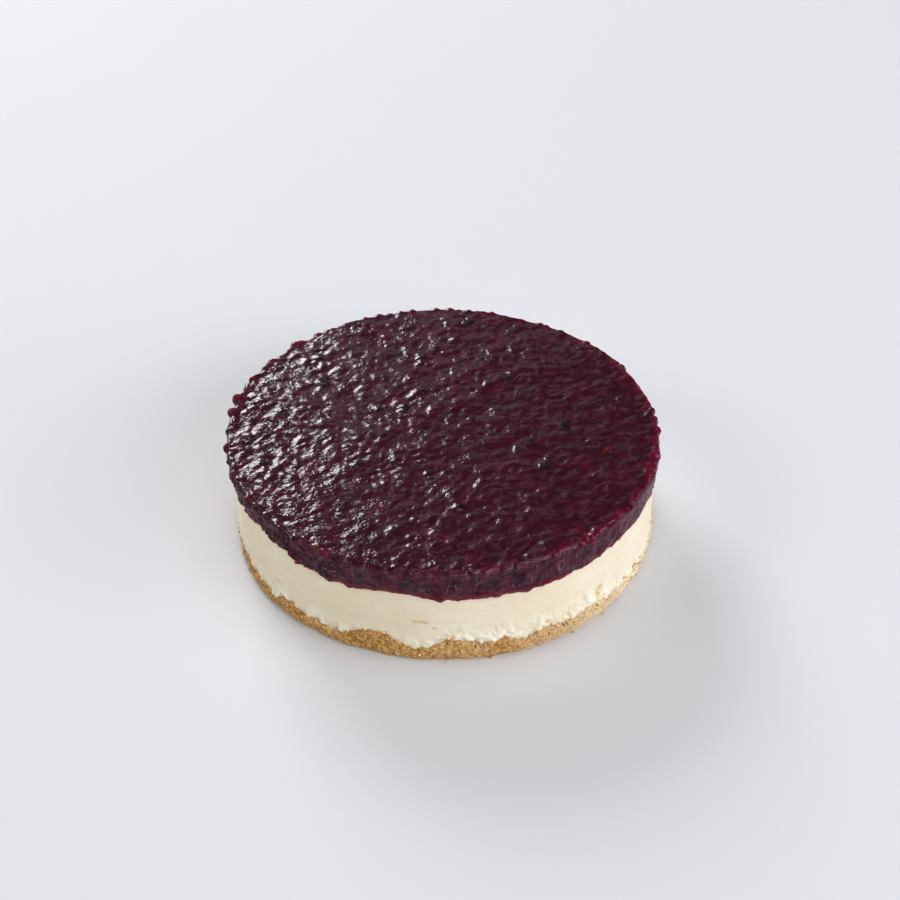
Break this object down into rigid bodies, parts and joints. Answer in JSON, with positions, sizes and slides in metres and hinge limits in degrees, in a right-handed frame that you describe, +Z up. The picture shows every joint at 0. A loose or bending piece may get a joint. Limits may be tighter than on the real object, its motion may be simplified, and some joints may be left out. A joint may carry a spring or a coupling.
{
  "type": "cheesecake",
  "caption": "Round unbaked cheesecake with a crumb base, a cream cheese layer and a glossy dark berry topping.",
  "frame": {"origin": "centre of the flat underside of the crumb base", "axes": "+Z up through the layers, the side shown in the picture faces -Y, +X to its right"},
  "size_m": [0.1521, 0.1527, 0.041],
  "materials": {
    "biscuit_crumb": "golden brown pressed biscuit crumbs, dry and grainy",
    "cream_cheese": "ivory cream cheese, satin, torn and pitted near the crumbs",
    "berry_jelly": "dark wine red set fruit pulp, wet gloss on top and satin on the cut wall"
  },
  "bodies": {
    "root": {"crumb_base": "biscuit_crumb", "cheese_layer": "cream_cheese", "fruit_topping": "berry_jelly"}
  },
  "joints": []
}
